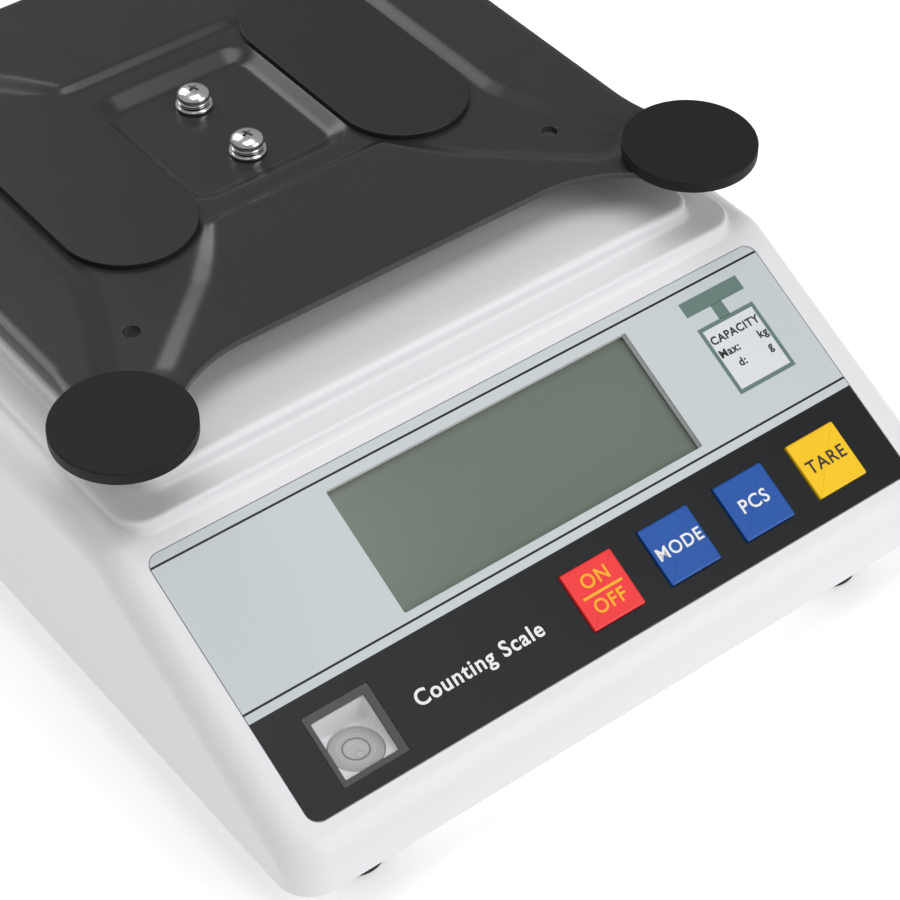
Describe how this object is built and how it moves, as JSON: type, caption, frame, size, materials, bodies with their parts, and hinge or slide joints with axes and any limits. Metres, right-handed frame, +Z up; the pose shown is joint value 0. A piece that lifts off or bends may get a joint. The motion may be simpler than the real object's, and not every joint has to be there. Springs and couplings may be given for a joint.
{
  "type": "counting scale",
  "caption": "Low counting scale with a sloping keypad and display, a load cell under a stamped pan support, and levelling feet. The pan is off.",
  "frame": {"origin": "on the table under the middle of the housing", "axes": "+Z up, -Y towards the control panel, X across the scale"},
  "size_m": [0.228, 0.314, 0.1006],
  "materials": {
    "housing_white": "fine moulded texture",
    "base_white": "matt",
    "overlay_film": "printed satin film",
    "screen": "satin over a reflective display",
    "inner_white": "matt",
    "circuit_board": "solder mask",
    "black_plastic": "matt",
    "red_key": "satin",
    "blue_key": "satin",
    "yellow_key": "satin",
    "grey_frame": "satin",
    "clear_plastic": "clear",
    "aluminium": "milled",
    "black_paint": "satin powder coat",
    "black_rubber": "matt",
    "zinc_steel": "zinc plated",
    "battery_wrap": "plain sleeve",
    "lead_jacket": "matt"
  },
  "bodies": {
    "housing": {"base_plate": "base_white", "battery_box": "black_plastic", "battery_cell_1": "battery_wrap", "battery_cell_2": "battery_wrap", "battery_cell_3": "battery_wrap", "battery_cell_4": "battery_wrap", "buzzer": "black_plastic", "cell_screw_front": "zinc_steel", "cell_screw_rear": "zinc_steel", "cell_spacer": "aluminium", "housing_screw_front_left": "zinc_steel", "housing_screw_front_right": "zinc_steel", "housing_screw_rear_left": "zinc_steel", "housing_screw_rear_right": "zinc_steel", "key_board": "circuit_board", "lcd_glass": "screen", "lcd_holder": "inner_white", "level_frame": "grey_frame", "level_pocket": "housing_white", "level_vial": "clear_plastic", "level_window": "clear_plastic", "load_cell": "aluminium", "load_cell_lead": "lead_jacket", "main_board": "circuit_board", "mode_switch": "black_plastic", "on_off_switch": "black_plastic", "panel_overlay": "overlay_film", "pieces_switch": "black_plastic", "power_socket": "black_plastic", "tare_switch": "black_plastic", "top_housing": "housing_white"},
    "pan_assembly": {"pan_support": "black_paint", "load_pillar": "aluminium", "pad_left": "black_rubber", "pad_right": "black_rubber", "pan_screw_front": "zinc_steel", "pan_screw_rear": "zinc_steel", "spring_washer_front": "zinc_steel", "spring_washer_rear": "zinc_steel", "flat_washer_front": "zinc_steel", "flat_washer_rear": "zinc_steel", "support_disc_front_left": "black_rubber", "support_disc_front_right": "black_rubber", "support_disc_rear_left": "black_rubber", "support_disc_rear_right": "black_rubber"},
    "battery_hatch": {"battery_door": "base_white"},
    "on_off_button": {"on_off_key": "red_key"},
    "mode_button": {"mode_key": "blue_key"},
    "pieces_button": {"pieces_key": "blue_key"},
    "tare_button": {"tare_key": "yellow_key"},
    "foot_front_left_sole": {"foot_pad_front_left": "black_rubber"},
    "foot_front_left_knob": {"foot_screw_front_left": "black_plastic"},
    "foot_front_right_sole": {"foot_pad_front_right": "black_rubber"},
    "foot_front_right_knob": {"foot_screw_front_right": "black_plastic"},
    "foot_rear_left_sole": {"foot_pad_rear_left": "black_rubber"},
    "foot_rear_left_knob": {"foot_screw_rear_left": "black_plastic"},
    "foot_rear_right_sole": {"foot_pad_rear_right": "black_rubber"},
    "foot_rear_right_knob": {"foot_screw_rear_right": "black_plastic"}
  },
  "joints": [
    {"name": "pan_deflection", "type": "slide", "parent": "housing", "child": "pan_assembly", "axis": [0, 0, -1], "range_m": [0, 0.00025], "stiffness_N_per_m": 100000},
    {"name": "on_off_press", "type": "slide", "parent": "housing", "child": "on_off_button", "axis": [0, 0.4602, -0.8878], "range_m": [0, 0.0005], "stiffness_N_per_m": 800, "springref_m": -0.0006},
    {"name": "mode_press", "type": "slide", "parent": "housing", "child": "mode_button", "axis": [0, 0.4602, -0.8878], "range_m": [0, 0.0005], "stiffness_N_per_m": 800, "springref_m": -0.0006},
    {"name": "pieces_press", "type": "slide", "parent": "housing", "child": "pieces_button", "axis": [0, 0.4602, -0.8878], "range_m": [0, 0.0005], "stiffness_N_per_m": 800, "springref_m": -0.0006},
    {"name": "tare_press", "type": "slide", "parent": "housing", "child": "tare_button", "axis": [0, 0.4602, -0.8878], "range_m": [0, 0.0005], "stiffness_N_per_m": 800, "springref_m": -0.0006},
    {"name": "foot_front_left_height", "type": "slide", "parent": "housing", "child": "foot_front_left_sole", "axis": [0, 0, -1], "range_m": [0, 0.005]},
    {"name": "foot_front_left_turn", "type": "hinge", "parent": "foot_front_left_sole", "child": "foot_front_left_knob", "pos_m": [-0.084, -0.137, 0.011], "axis": [0, 0, 1], "range_deg": [0, 1800]},
    {"name": "foot_front_right_height", "type": "slide", "parent": "housing", "child": "foot_front_right_sole", "axis": [0, 0, -1], "range_m": [0, 0.005]},
    {"name": "foot_front_right_turn", "type": "hinge", "parent": "foot_front_right_sole", "child": "foot_front_right_knob", "pos_m": [0.084, -0.137, 0.011], "axis": [0, 0, 1], "range_deg": [0, 1800]},
    {"name": "foot_rear_left_height", "type": "slide", "parent": "housing", "child": "foot_rear_left_sole", "axis": [0, 0, -1], "range_m": [0, 0.005]},
    {"name": "foot_rear_left_turn", "type": "hinge", "parent": "foot_rear_left_sole", "child": "foot_rear_left_knob", "pos_m": [-0.084, 0.137, 0.011], "axis": [0, 0, 1], "range_deg": [0, 1800]},
    {"name": "foot_rear_right_height", "type": "slide", "parent": "housing", "child": "foot_rear_right_sole", "axis": [0, 0, -1], "range_m": [0, 0.005]},
    {"name": "foot_rear_right_turn", "type": "hinge", "parent": "foot_rear_right_sole", "child": "foot_rear_right_knob", "pos_m": [0.084, 0.137, 0.011], "axis": [0, 0, 1], "range_deg": [0, 1800]},
    {"name": "battery_hatch_slide", "type": "slide", "parent": "housing", "child": "battery_hatch", "axis": [0, 1, 0], "range_m": [0, 0.012]}
  ],
  "couplings": [
    {"joint": "foot_front_left_turn", "follows": "foot_front_left_height", "rad_per_m": 6283.2},
    {"joint": "foot_front_right_turn", "follows": "foot_front_right_height", "rad_per_m": 6283.2},
    {"joint": "foot_rear_left_turn", "follows": "foot_rear_left_height", "rad_per_m": 6283.2},
    {"joint": "foot_rear_right_turn", "follows": "foot_rear_right_height", "rad_per_m": 6283.2}
  ]
}
